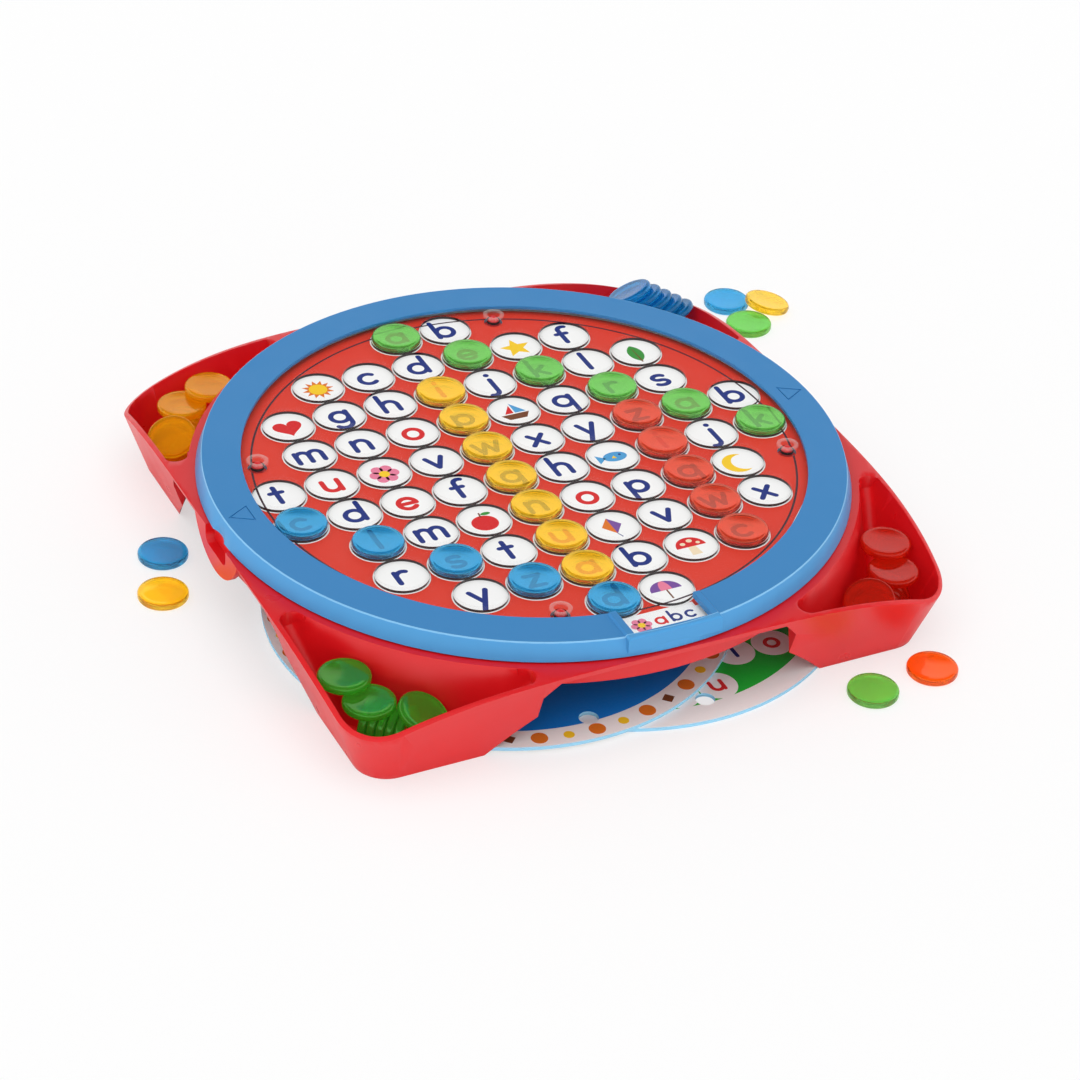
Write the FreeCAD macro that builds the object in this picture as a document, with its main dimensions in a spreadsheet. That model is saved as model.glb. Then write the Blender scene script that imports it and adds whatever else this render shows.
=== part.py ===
"""Word search board game.

A red base with four corner trays carries a printed puzzle disc, a clear grid with a hole over each letter,
and a blue ring that turns to the next picture window. Clear counters stand in the holes, lie in the trays and
lie on the table, and two spare discs are kept under the board. Millimetres, +Z up, origin on the table under
the axis of the ring; the letter rows run along X.
"""
import FreeCAD
import Part
import Sketcher

import math
import os
import re

doc = FreeCAD.newDocument("word_search_board")

# Driving dimensions. Shares are fractions or multiples of the size that they are used with.
SIZES = {
    # counters and the letter field
    "token_diameter": 19.0,
    "token_thickness": 3.2,
    "token_edge_radius": 1.2,
    "token_rim_width": 0.9,
    "token_dish_depth": 0.35,
    "hole_clearance": 0.8,
    "hole_web": 1.2,
    "cells_across": 10,
    "letter_field_shares": 4.6,
    "edge_cell_shares": 4.53,
    "peg_near_shares": 1.5,
    "peg_far_shares": 4.5,
    # card discs
    "disc_thickness": 1.5,
    "disc_inset": 2.5,
    "peg_diameter": 4.6,
    "peg_hole_diameter": 7.2,
    "seat_gap": 0.1,
    "spare_radius": 87.0,
    "spare_hole_inset": 11.5,
    "spare_gap": 0.6,
    "spare_blue_bearing": 233.0,
    "spare_green_bearing": 296.0,
    # clear grid
    "field_margin": 0.6,
    "grid_thickness": 2.8,
    "grid_flange": 2.0,
    "grid_inset": 0.6,
    "grid_bore_gap": 0.4,
    "socket_diameter": 8.2,
    "socket_rise": 0.6,
    "socket_clearance": 0.6,
    "peg_recess": 0.4,
    # turning ring
    "ring_top_width": 14.5,
    "ring_plate": 1.6,
    "ring_lift": 0.5,
    "skirt_flare": 2.3,
    "skirt_wall": 1.8,
    "bearing_gap": 1.2,
    "window_width": 30.6,
    "window_edge": 1.1,
    "frame_border": 3.2,
    "frame_rise": 0.8,
    "frame_overhang": 1.5,
    "frame_bevel": 0.7,
    "arrow_radius": 5.8,
    "arrow_line": 0.5,
    "arrow_depth": 0.4,
    "arrow_place_share": 0.48,
    "scoop_radius": 11.5,
    "scoop_depth": 1.5,
    # base
    "rim_height": 35.0,
    "rim_margin": 1.1,
    "corner_drop": 17.0,
    "wall_draft": 11.8,
    "rim_corner_radius": 20.0,
    "foot_corner_radius": 12.0,
    "wall": 2.0,
    "floor_thickness": 2.0,
    "tray_land": 2.9,
    "tray_wall_draft": 7.1,
    "tray_end_radius": 3.0,
    "tray_cap_radius": 4.5,
    "side_gap": 100.0,
    "flange_thickness": 2.5,
    "seat_rise": 2.2,
    "deck_thickness": 2.0,
    "drum_depth": 11.0,
    "drum_wall": 2.2,
    "notch_width": 19.5,
    "notch_depth": 7.0,
    "notch_corner_radius": 3.0,
    "tab_width": 44.0,
    "tab_depth": 14.4,
    # small working values
    "heap_gap": 0.3,
    "stack_gap": 0.12,
    "overrun": 1.0,
}
sheet = doc.addObject("Spreadsheet::Sheet", "sizes")
for row, (alias, number) in enumerate(SIZES.items(), start=1):
    sheet.set(f"A{row}", alias)
    sheet.set(f"B{row}", str(number))
    sheet.setAlias(f"B{row}", alias)
doc.recompute()
QUARTER_TURN = 90


def cells(formula):
    """Points each size that a formula names at its cell of the sheet."""
    return re.sub(r"[a-z]+(?:_[a-z]+)+|\bwall\b|\boverrun\b", lambda word: f"<<sizes>>.{word.group()}", formula)


def value(formula):
    """The present value of a formula."""
    return float(sheet.evalExpression(cells(formula)))


def bind(thing, **formulas):
    """Binds properties of a document object to formulas; x, y and z stand for its place."""
    for name, formula in formulas.items():
        path = f"Placement.Base.{name}" if name in ("x", "y", "z") else name
        thing.setExpression(path, cells(formula))
    return thing


def cylinder(name, radius, bottom, height, x="0", y="0"):
    """An upright cylinder."""
    return bind(doc.addObject("Part::Cylinder", name), Radius=radius, Height=height, x=x, y=y, z=bottom)


def cone(name, low_radius, high_radius, bottom, height):
    """An upright cone frustum on the axis of the board."""
    solid = doc.addObject("Part::Cone", name)
    return bind(solid, Radius1=low_radius, Radius2=high_radius, Height=height, z=bottom)


def box(name, length, width, height, x, y, z):
    """A box from its lowest corner."""
    solid = doc.addObject("Part::Box", name)
    return bind(solid, Length=length, Width=width, Height=height, x=x, y=y, z=z)


def cut(name, base, tool):
    """The first solid less the second."""
    result = doc.addObject("Part::Cut", name)
    result.Base = base
    result.Tool = tool
    return result


def common(name, base, tool):
    """What two solids share."""
    result = doc.addObject("Part::Common", name)
    result.Base = base
    result.Tool = tool
    return result


def fuse(name, shapes):
    """Several solids joined into one."""
    result = doc.addObject("Part::MultiFuse", name)
    result.Shapes = shapes
    return result


def plane_sketch(body, name, role):
    """A sketch on one of a body's own origin planes."""
    sketch = body.newObject("Sketcher::SketchObject", name)
    plane = next(feature for feature in body.Origin.OriginFeatures if feature.Role == role)
    sketch.AttachmentSupport = [(plane, "")]
    sketch.MapMode = "FlatFace"
    return sketch


def fix(sketch, kind, *geometry, formula):
    """Adds one measured constraint to a sketch and binds it to a formula."""
    index = sketch.addConstraint(Sketcher.Constraint(kind, *geometry, value(formula)))
    label = f"size_{index}"
    sketch.renameConstraint(index, label)
    sketch.setExpression(f"Constraints.{label}", cells(formula))


def pin_point(sketch, geometry, point, x, y):
    """Holds a sketch point at a place given by two formulas."""
    for formula, kind, axis in ((x, "DistanceX", -2), (y, "DistanceY", -1)):
        if formula == "0":
            sketch.addConstraint(Sketcher.Constraint("PointOnObject", geometry, point, axis))
        else:
            fix(sketch, kind, -1, 1, geometry, point, formula=formula)


def circle(sketch, radius, x="0", y="0"):
    """A full circle in a sketch."""
    centre = FreeCAD.Vector(value(x), value(y), 0)
    index = sketch.addGeometry(Part.Circle(centre, FreeCAD.Vector(0, 0, 1), value(radius)))
    fix(sketch, "Radius", index, formula=radius)
    if x == "0" and y == "0":
        sketch.addConstraint(Sketcher.Constraint("Coincident", index, 3, -1, 1))
    else:
        pin_point(sketch, index, 3, x, y)


def rounded_square(body, name, half, radius, height):
    """A square outline with round corners, centred on the axis, at a height."""
    sketch = plane_sketch(body, name, "XY_Plane")
    sketch.setExpression("AttachmentOffset.Base.z", cells(height))
    h, r = value(half), value(radius)
    up = FreeCAD.Vector(0, 0, 1)
    for turn in range(4):
        spin = FreeCAD.Rotation(up, turn * QUARTER_TURN)
        start = spin.multVec(FreeCAD.Vector(r - h, -h, 0))
        end = spin.multVec(FreeCAD.Vector(h - r, -h, 0))
        middle = spin.multVec(FreeCAD.Vector(h - r, r - h, 0))
        sketch.addGeometry(Part.LineSegment(start, end))
        first = math.radians((turn - 1) * QUARTER_TURN)
        arc = Part.ArcOfCircle(Part.Circle(middle, up, r), first, first + math.pi / 2)
        sketch.addGeometry(arc)
    sides = sketch.GeometryCount
    for side in range(sides):
        sketch.addConstraint(Sketcher.Constraint("Tangent", side, 2, (side + 1) % sides, 1))
    for side, kind in ((0, "Horizontal"), (2, "Vertical"), (4, "Horizontal"), (6, "Vertical")):
        sketch.addConstraint(Sketcher.Constraint(kind, side))
    for corner in range(3, sides, 2):
        sketch.addConstraint(Sketcher.Constraint("Equal", 1, corner))
    sketch.addConstraint(Sketcher.Constraint("Symmetric", 1, 3, 5, 3, -1, 1))
    fix(sketch, "Radius", 1, formula=radius)
    fix(sketch, "DistanceX", -1, 1, 2, 1, formula=half)
    fix(sketch, "DistanceY", -1, 1, 4, 1, formula=half)
    return sketch


def drafted_block(name, low, high):
    """A body between two rounded squares, each given as half side, corner radius and height."""
    body = doc.addObject("PartDesign::Body", name)
    low_sketch = rounded_square(body, f"{name}_low", *low)
    high_sketch = rounded_square(body, f"{name}_high", *high)
    loft = body.newObject("PartDesign::AdditiveLoft", f"{name}_loft")
    loft.Profile = (low_sketch, [""])
    loft.Sections = [(high_sketch, [""])]
    loft.Ruled = True
    return body


def turned(name, points):
    """A body turned about Z. Each point is radius, height and the bend to the next one.

    A bend is None for a straight side, or a radius formula and +1 or -1 for the side its centre is on.
    """
    body = doc.addObject("PartDesign::Body", name)
    sketch = plane_sketch(body, f"{name}_profile", "XZ_Plane")
    places = [FreeCAD.Vector(value(r), value(z), 0) for r, z, _ in points]
    ends = []
    for number, (_, _, bend) in enumerate(points):
        start = places[number]
        end = places[(number + 1) % len(places)]
        if bend is None:
            index = sketch.addGeometry(Part.LineSegment(start, end))
            ends.append((index, 1, 2))
            continue
        radius, side = value(bend[0]), bend[1]
        chord = end - start
        rise = math.sqrt(radius**2 - (chord.Length / 2) ** 2)
        normal = FreeCAD.Vector(-chord.y, chord.x, 0).normalize()
        middle = (start + end) * 0.5 + normal * (side * rise)
        first, last = (start, end) if side > 0 else (end, start)
        low = math.atan2(first.y - middle.y, first.x - middle.x)
        high = math.atan2(last.y - middle.y, last.x - middle.x)
        if high < low:
            high += 2 * math.pi
        full = Part.Circle(middle, FreeCAD.Vector(0, 0, 1), radius)
        index = sketch.addGeometry(Part.ArcOfCircle(full, low, high))
        ends.append((index, 1, 2) if side > 0 else (index, 2, 1))
    for number, (r, z, bend) in enumerate(points):
        index, first, last = ends[number]
        following, begin, _ = ends[(number + 1) % len(ends)]
        sketch.addConstraint(Sketcher.Constraint("Coincident", index, last, following, begin))
        pin_point(sketch, index, first, r, z)
        if bend is not None:
            fix(sketch, "Radius", index, formula=bend[0])
    turn = body.newObject("PartDesign::Revolution", f"{name}_turn")
    turn.Profile = sketch
    turn.ReferenceAxis = (sketch, ["V_Axis"])
    turn.Angle = 360
    return body


def disc_pad(body, name, circles, bottom, thickness):
    """Adds a flat pad to a body: its circles are radius, x and y, the first round the others."""
    sketch = plane_sketch(body, f"{name}_outline", "XY_Plane")
    sketch.setExpression("AttachmentOffset.Base.z", cells(bottom))
    for radius, x, y in circles:
        circle(sketch, radius, x, y)
    pad = body.newObject("PartDesign::Pad", name)
    pad.Profile = sketch
    pad.setExpression("Length", cells(thickness))
    return pad


def quarter_places(near, far):
    """Four places, a quarter turn apart, of a point given by two formulas."""
    return [(near, far), (f"-({far})", near), (f"-({near})", f"-({far})"), (far, f"-({near})")]


PARTS = []


def piece(thing, label):
    """Names a finished sub-part."""
    thing.Label = label
    PARTS.append(thing)
    return thing


# Sizes that follow from the driving ones, as formulas.
HOLE = "(token_diameter + hole_clearance)"
PITCH = f"({HOLE} + hole_web)"
RING_INNER = f"({PITCH} * edge_cell_shares + {HOLE} / 2 + field_margin)"
CREASE = f"({RING_INNER} + ring_top_width)"
RING_BOTTOM = f"({CREASE} + skirt_flare)"
DRUM = f"({RING_BOTTOM} - skirt_wall - bearing_gap)"
DISC = f"({CREASE} - disc_inset)"
RIM_HALF = f"({RING_BOTTOM} + rim_margin)"
FOOT_HALF = f"({RIM_HALF} - wall_draft)"
TRAY_TOP = f"({RING_BOTTOM} + tray_land)"
TRAY_FOOT = f"({TRAY_TOP} + tray_wall_draft)"
SEAT_Z = "(rim_height + seat_rise)"
DISC_Z = f"({SEAT_Z} + seat_gap)"
GRID_Z = f"({DISC_Z} + disc_thickness + seat_gap)"
RING_UNDER_Z = f"({GRID_Z} + grid_flange + seat_gap)"
RING_TOP_Z = f"({RING_UNDER_Z} + ring_plate)"
RING_LOW_Z = "(rim_height + ring_lift)"
DRUM_Z = "(rim_height - drum_depth)"
FLANGE_Z = "(rim_height - flange_thickness)"
PEGS = quarter_places(f"({PITCH} * peg_near_shares)", f"({PITCH} * peg_far_shares)")


def side_at(height):
    """Half side of the drafted outer wall at a height."""
    return f"({FOOT_HALF} + wall_draft * ({height}) / rim_height)"


def tray_wall_at(height):
    """Radius of the tray side of the round wall between a tray and the space under the board."""
    return f"({TRAY_TOP} + tray_wall_draft * (1 - ({height}) / rim_height))"


# Base. The outer form is a drafted block whose rim falls away towards the four corners.
block = drafted_block(
    "base_block",
    (FOOT_HALF, "foot_corner_radius", "0"),
    (RIM_HALF, "rim_corner_radius", "rim_height"),
)
CORNER_REACH = f"({RIM_HALF} * sqrt(2) - rim_corner_radius * (sqrt(2) - 1))"
FALL_RUN = f"({CORNER_REACH} - {TRAY_TOP})"
FALL_RADIUS = f"(({FALL_RUN} * {FALL_RUN} + corner_drop * corner_drop) / (2 * corner_drop))"
crown = turned(
    "base_crown",
    [
        ("0", "-overrun", None),
        (f"{CORNER_REACH} + overrun", "-overrun", None),
        (f"{CORNER_REACH} + overrun", "rim_height - corner_drop", None),
        (CORNER_REACH, "rim_height - corner_drop", (FALL_RADIUS, 1)),
        (TRAY_TOP, "rim_height", None),
        ("0", "rim_height", None),
    ],
)
outer = common("base_outer", block, crown)

# Space under the board, open between the feet in the middle of each side, with the drum wall that hangs from
# the deck left standing in it.
under = cone(
    "under_space",
    f"{tray_wall_at('-overrun')} - wall",
    f"{tray_wall_at(FLANGE_Z)} - wall",
    "-overrun",
    f"{FLANGE_Z} + overrun",
)
drum = cut(
    "drum_tube",
    cylinder("drum_outside", DRUM, DRUM_Z, "drum_depth"),
    cylinder("drum_inside", f"{DRUM} - drum_wall", f"{DRUM_Z} - overrun", "drum_depth + 2 * overrun"),
)


def side_cross(name, width, bottom, height):
    """Two crossed boxes of one width that run out through the middle of all four sides."""
    front_to_back = box(
        f"{name}_front_to_back", width, f"2 * {TRAY_FOOT}", height, f"-({width}) / 2", f"-{TRAY_FOOT}", bottom
    )
    left_to_right = box(
        f"{name}_left_to_right", f"2 * {TRAY_FOOT}", width, height, f"-{TRAY_FOOT}", f"-({width}) / 2", bottom
    )
    return fuse(name, [front_to_back, left_to_right])


gap_core = cylinder("side_gap_core", f"{TRAY_FOOT} - wall", "-overrun", f"{FLANGE_Z} + overrun")
gap_cross = side_cross("side_gap_cross", "side_gap", "-overrun", f"{FLANGE_Z} + overrun")
side_gaps = common("side_gaps", gap_core, gap_cross)
hollow = cut("under_hollow", fuse("under_and_gaps", [under, side_gaps]), drum)
deck_recess = cylinder(
    "deck_recess",
    f"{DRUM} - drum_wall",
    f"{FLANGE_Z} - overrun",
    "flange_thickness + seat_rise - deck_thickness + overrun",
)

# Tray cavities: the same drafted form, one wall further in, outside the round wall.
CAVITY_TOP = "(rim_height + overrun)"
cavity_block = drafted_block(
    "cavity_block",
    (f"{side_at('floor_thickness')} - wall", "foot_corner_radius - wall", "floor_thickness"),
    (f"{side_at(CAVITY_TOP)} - wall", "rim_corner_radius - wall", CAVITY_TOP),
)
round_wall = cone(
    "tray_round_wall",
    tray_wall_at("floor_thickness - overrun"),
    tray_wall_at("rim_height + 2 * overrun"),
    "floor_thickness - overrun",
    "rim_height - floor_thickness + 3 * overrun",
)
sharp_cavities = cut("sharp_cavities", cavity_block, round_wall)
doc.recompute()


def tray_end_edges(shape):
    """Numbers of the edges where a tray's outer wall runs into its round wall."""
    low, high = value("floor_thickness"), value(CAVITY_TOP)
    low_radius, high_radius = value(tray_wall_at("floor_thickness")), value(tray_wall_at(CAVITY_TOP))
    found = []
    for number, edge in enumerate(shape.Edges, start=1):
        ends = sorted((vertex.Point for vertex in edge.Vertexes), key=lambda point: point.z)
        if len(ends) < 2 or ends[-1].z - ends[0].z < (high - low) / 2:
            continue
        off_low = abs(math.hypot(ends[0].x, ends[0].y) - low_radius)
        off_high = abs(math.hypot(ends[-1].x, ends[-1].y) - high_radius)
        if max(off_low, off_high) < value("wall") / 10:
            found.append(number)
    return found


long_cavities = doc.addObject("Part::Fillet", "long_cavities")
long_cavities.Base = sharp_cavities
END_RADIUS = value("tray_end_radius")
long_cavities.Edges = [(number, END_RADIUS, END_RADIUS) for number in tray_end_edges(sharp_cavities.Shape)]

# Each tray stops one wall short of the gap in the middle of its side, in a half round.
CAP_ALONG = "(side_gap / 2 + wall + tray_cap_radius)"
CAP_ACROSS = f"({RIM_HALF} - wall - tray_cap_radius)"
CAP_PLACES = quarter_places(CAP_ALONG, CAP_ACROSS) + quarter_places(f"-{CAP_ALONG}", CAP_ACROSS)
end_caps = [
    cylinder(f"tray_end_cap_{number}", "tray_cap_radius", "-overrun", "rim_height + 4 * overrun", x, y)
    for number, (x, y) in enumerate(CAP_PLACES, start=1)
]
end_cross = side_cross("tray_end_cross", f"2 * {CAP_ALONG}", "0", "rim_height + 2 * overrun")
end_blocks = cut("tray_end_blocks", end_cross, fuse("tray_end_caps", end_caps))
cavities = cut("tray_cavities", long_cavities, end_blocks)

# Finger tabs: a wall that stands straight down from the rim in a half round, on the left and right sides.
tab_walls = fuse(
    "tab_walls",
    [
        box(f"{side}_tab_wall", "wall", "tab_width", "rim_height", x, "-tab_width / 2", "0")
        for side, x in (("right", f"{RIM_HALF} - wall"), ("left", f"-{RIM_HALF}"))
    ],
)
lobe = cylinder("tab_lobe", "tab_width / 2", "rim_height - tab_depth + tab_width / 2", f"2 * {RIM_HALF}")
lobe.Placement.Rotation = FreeCAD.Rotation(FreeCAD.Vector(0, 1, 0), 90)
bind(lobe, x=f"-{RIM_HALF}")
tabs = common("finger_tabs", tab_walls, lobe)
NOTCH_FLOOR = "(rim_height - notch_depth)"


def finger_notch(name, x):
    """A notch with round lower corners through the rim, from the drum outwards."""
    block_solid = box(
        f"{name}_block",
        f"{RIM_HALF} - {DRUM} + overrun",
        "notch_width",
        "notch_depth + seat_rise",
        x,
        "-notch_width / 2",
        NOTCH_FLOOR,
    )
    doc.recompute()
    low_edges = [
        (number, value("notch_corner_radius"), value("notch_corner_radius"))
        for number, edge in enumerate(block_solid.Shape.Edges, start=1)
        if edge.BoundBox.ZMax < value(NOTCH_FLOOR) + value("overrun") and edge.BoundBox.YLength < value("overrun")
    ]
    notch = doc.addObject("Part::Fillet", name)
    notch.Base = block_solid
    notch.Edges = low_edges
    return notch


def notch_trough(name, x):
    """A block one wall larger than a finger notch, which leaves the notch a floor and ends under the rim."""
    return box(
        name,
        f"{RIM_HALF} - {DRUM} + drum_wall / 2",
        "notch_width + 2 * wall",
        "notch_depth + wall",
        x,
        "-notch_width / 2 - wall",
        f"{NOTCH_FLOOR} - wall",
    )


troughs = [
    notch_trough("right_trough", f"{DRUM} - drum_wall / 2"),
    notch_trough("left_trough", f"-{RIM_HALF}"),
]
notches = [
    finger_notch("right_notch", f"{DRUM} + bearing_gap / 2"),
    finger_notch("left_notch", f"-{RIM_HALF} - overrun - bearing_gap / 2"),
]

# Deck and pegs. The deck stands above the flange, and a peg with a round end rises at four places.
PEG_TOP = f"({GRID_Z} + grid_thickness - peg_recess)"
deck = cylinder("deck", DRUM, FLANGE_Z, "flange_thickness + seat_rise")
pegs = []
for number, (x, y) in enumerate(PEGS, start=1):
    shaft = cylinder(f"peg_shaft_{number}", "peg_diameter / 2", SEAT_Z, f"{PEG_TOP} - peg_diameter / 2 - {SEAT_Z}", x, y)
    tip = bind(doc.addObject("Part::Sphere", f"peg_tip_{number}"), Radius="peg_diameter / 2", x=x, y=y)
    bind(tip, z=f"{PEG_TOP} - peg_diameter / 2")
    pegs += [shaft, tip]

shell = cut("base_shell", cut("base_open", outer, hollow), cavities)
decked = cut("base_decked", fuse("base_with_deck", [shell, deck, tabs] + troughs), deck_recess)
notched = cut("base_notched", decked, fuse("notches", notches))
piece(fuse("base_moulding", [notched] + pegs), "base_tray")

# Puzzle disc: card, with a hole for each peg.
puzzle_disc = doc.addObject("PartDesign::Body", "puzzle_disc_body")
peg_holes = [("peg_hole_diameter / 2", x, y) for x, y in PEGS]
disc_pad(puzzle_disc, "puzzle_disc_card", [(DISC, "0", "0")] + peg_holes, DISC_Z, "disc_thickness")
piece(puzzle_disc, "puzzle_disc")

# Spare discs: smaller cards, one on the other, pushed to the front of the space between the feet.
SPARE_OFFSET = f"({TRAY_FOOT} - wall - spare_radius - spare_gap)"
SPARE_HOLES = quarter_places("0", "(spare_radius - spare_hole_inset)")
SPARES = {
    "spare_disc_green": ("spare_green_bearing", "0"),
    "spare_disc_blue": ("spare_blue_bearing", "disc_thickness + seat_gap"),
}
for name, (bearing, bottom) in SPARES.items():
    spare = doc.addObject("PartDesign::Body", f"{name}_body")
    holes = [("peg_hole_diameter / 2", x.replace("-(0)", "0"), y.replace("-(0)", "0")) for x, y in SPARE_HOLES]
    disc_pad(spare, f"{name}_card", [("spare_radius", "0", "0")] + holes, "0", "disc_thickness")
    bind(spare, x=f"{SPARE_OFFSET} * cos({bearing} * 1deg)", y=f"{SPARE_OFFSET} * sin({bearing} * 1deg)", z=bottom)
    piece(spare, name)

# Clear grid: a thin flange under the ring, a thicker field inside it, peg sockets, and a hole for each letter.
LAST = int(value("cells_across")) - 1
CELLS = [(column, line) for line in range(LAST + 1) for column in range(LAST + 1)]
CELLS = [
    cell
    for cell in CELLS
    if math.hypot(cell[0] - LAST / 2, cell[1] - LAST / 2) <= value("letter_field_shares")
]


def cell_place(column, line):
    """Formulas for the centre of a cell; columns run along +X, lines along -Y."""
    return f"({PITCH} * {column - LAST / 2})", f"({PITCH} * {LAST / 2 - line})"


grid = doc.addObject("PartDesign::Body", "letter_grid_body")
disc_pad(grid, "grid_flange_plate", [(f"{DISC} - grid_inset", "0", "0")], GRID_Z, "grid_flange")
disc_pad(grid, "grid_field", [(f"{RING_INNER} - grid_bore_gap", "0", "0")], GRID_Z, "grid_thickness")
sockets = [("socket_diameter / 2", x, y) for x, y in PEGS]
disc_pad(grid, "grid_sockets", sockets, GRID_Z, "grid_thickness + socket_rise")
hole_sketch = plane_sketch(grid, "letter_holes_outline", "XY_Plane")
hole_sketch.setExpression("AttachmentOffset.Base.z", cells(f"{GRID_Z} - overrun"))
for column, line in CELLS:
    circle(hole_sketch, f"({HOLE}) / 2", *cell_place(column, line))
for x, y in PEGS:
    circle(hole_sketch, "(peg_diameter + socket_clearance) / 2", x, y)
letter_holes = grid.newObject("PartDesign::Pocket", "letter_holes")
letter_holes.Profile = hole_sketch
letter_holes.setExpression("Length", cells("grid_thickness + socket_rise + 2 * overrun"))
letter_holes.Reversed = True
piece(grid, "letter_grid")

# Turning ring: an angle section with a raised window frame, two engraved arrows and two thumb scoops.
ring_outside = cone("ring_outside", RING_BOTTOM, CREASE, RING_LOW_Z, f"{RING_TOP_Z} - {RING_LOW_Z}")
FRAME_HALF = "(window_width / 2 + frame_border)"
FRAME_FRONT = f"({CREASE} + frame_overhang)"
frame_block = box(
    "frame_block",
    f"2 * {FRAME_HALF}",
    f"{FRAME_FRONT} - {RING_INNER} + overrun",
    f"{RING_TOP_Z} + frame_rise - {RING_LOW_Z} - ring_plate",
    f"-{FRAME_HALF}",
    f"-{FRAME_FRONT}",
    f"{RING_LOW_Z} + ring_plate",
)
doc.recompute()
frame_top = frame_block.Shape.BoundBox.ZMax
frame_back = frame_block.Shape.BoundBox.YMax
bevelled = doc.addObject("Part::Chamfer", "window_frame")
bevelled.Base = frame_block
bevelled.Edges = [
    (number, value("frame_bevel"), value("frame_bevel"))
    for number, edge in enumerate(frame_block.Shape.Edges, start=1)
    if edge.BoundBox.ZMin > frame_top - value("overrun") and edge.BoundBox.YMin < frame_back - value("overrun")
]
skirt_inside = cone(
    "skirt_inside",
    f"{RING_BOTTOM} - skirt_wall + skirt_flare * overrun / ({RING_UNDER_Z} - {RING_LOW_Z})",
    f"{CREASE} - skirt_wall",
    f"{RING_LOW_Z} - overrun",
    f"{RING_UNDER_Z} - {RING_LOW_Z} + overrun",
)
ring_bore = cylinder("ring_bore", RING_INNER, RING_LOW_Z, f"{RING_TOP_Z} - {RING_LOW_Z} + overrun")
window = box(
    "window_opening",
    "window_width",
    f"{CREASE} - window_edge - {RING_INNER} / 2",
    f"{RING_TOP_Z} + overrun - {RING_UNDER_Z} + overrun",
    "-window_width / 2",
    f"-({CREASE} - window_edge)",
    f"{RING_UNDER_Z} - overrun",
)
ring_cuts = [skirt_inside, ring_bore, window]
ARROW_PLACE = f"({RING_INNER} + ring_top_width * arrow_place_share)"
SCOOP_PLACE = f"({RING_BOTTOM} + scoop_radius - scoop_depth)"
for name, sign, angle in (("right", "", 0), ("left", "-", 180)):
    arrows = []
    for edge_name, radius in (("outline", "arrow_radius"), ("island", "arrow_radius - 2 * arrow_line")):
        prism = doc.addObject("Part::Prism", f"{name}_arrow_{edge_name}")
        prism.Polygon = 3
        prism.Placement.Rotation = FreeCAD.Rotation(FreeCAD.Vector(0, 0, 1), angle)
        bind(prism, Circumradius=radius, Height="arrow_depth + overrun")
        arrows.append(bind(prism, x=f"{sign}{ARROW_PLACE}", z=f"{RING_TOP_Z} - arrow_depth"))
    ring_cuts.append(cut(f"{name}_arrow", *arrows))
    scoop = bind(doc.addObject("Part::Sphere", f"{name}_scoop"), Radius="scoop_radius")
    ring_cuts.append(bind(scoop, x=f"{sign}{SCOOP_PLACE}", z=f"{RING_LOW_Z} + scoop_depth"))
ring_solid = fuse("ring_solid", [ring_outside, bevelled])
piece(cut("ring_moulding", ring_solid, fuse("ring_cuts", ring_cuts)), "turning_ring")

# One counter: a flat round piece with round edges and a shallow dish on each face.
TOKEN_RADIUS = "(token_diameter / 2)"
DISH = f"({TOKEN_RADIUS} - token_edge_radius - token_rim_width)"
DISH_RADIUS = f"(({DISH} * {DISH} + token_dish_depth * token_dish_depth) / (2 * token_dish_depth))"
counter = turned(
    "counter_form",
    [
        ("0", "token_dish_depth", (DISH_RADIUS, -1)),
        (DISH, "0", None),
        (f"{TOKEN_RADIUS} - token_edge_radius", "0", ("token_edge_radius", 1)),
        (TOKEN_RADIUS, "token_edge_radius", None),
        (TOKEN_RADIUS, "token_thickness - token_edge_radius", ("token_edge_radius", 1)),
        (f"{TOKEN_RADIUS} - token_edge_radius", "token_thickness", None),
        (DISH, "token_thickness", (DISH_RADIUS, -1)),
        ("0", "token_thickness - token_dish_depth", None),
    ],
)
doc.recompute()


def counters(name, places):
    """One sub-part of counters, each put down at a placement of its lower face."""
    group = doc.addObject("Part::Feature", name)
    copies = []
    for place in places:
        copy = counter.Shape.copy()
        copy.Placement = place.multiply(copy.Placement)
        copies.append(copy)
    group.Shape = copies[0] if len(copies) == 1 else Part.makeCompound(copies)
    return piece(group, name)


def flat(x, y, z):
    """A counter lying level, by the centre of its lower face."""
    return FreeCAD.Placement(FreeCAD.Vector(x, y, z), FreeCAD.Rotation())


# Counters in the grid, each a line of cells in one colour.
LINES = {
    "blue": [(0, 5), (1, 6), (2, 7), (3, 8), (4, 9)],
    "yellow": [(4, line) for line in range(2, 9)],
    "green": [(4, 0), (5, 1), (6, 2), (7, 3), (8, 4), (9, 5)],
    "red": [(7, line) for line in range(4, 9)],
}
for colour, line_cells in LINES.items():
    for number, cell in enumerate(line_cells, start=1):
        x, y = (value(formula) for formula in cell_place(*cell))
        counters(f"grid_counter_{colour}_{number}", [flat(x, y, value(GRID_Z))])

# Loose counters on the table, by their distance from the rim in counter diameters.
RIM = value(RIM_HALF)
WIDE = value("token_diameter")
THICK = value("token_thickness")
LOOSE_SHARES = {
    "loose_counter_left_blue": (-1, -0.22, 0, 2.26),
    "loose_counter_left_yellow": (-1, -0.70, 0, 0.99),
    "loose_counter_back_blue": (1, 1.85, 1, 0.30),
    "loose_counter_back_green": (1, 1.85, 1, -0.74),
    "loose_counter_front_green": (1, -2.43, -1, -0.48),
    "loose_counter_front_red": (1, -1.01, -1, -0.30),
}
for name, (side_x, share_x, side_y, share_y) in LOOSE_SHARES.items():
    counters(name, [flat(side_x * RIM + share_x * WIDE, side_y * RIM + share_y * WIDE, 0)])

# One loose counter leans on the two at the back: its far edge on the table, its near part on both of them.
EDGE = value("token_edge_radius")


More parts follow.
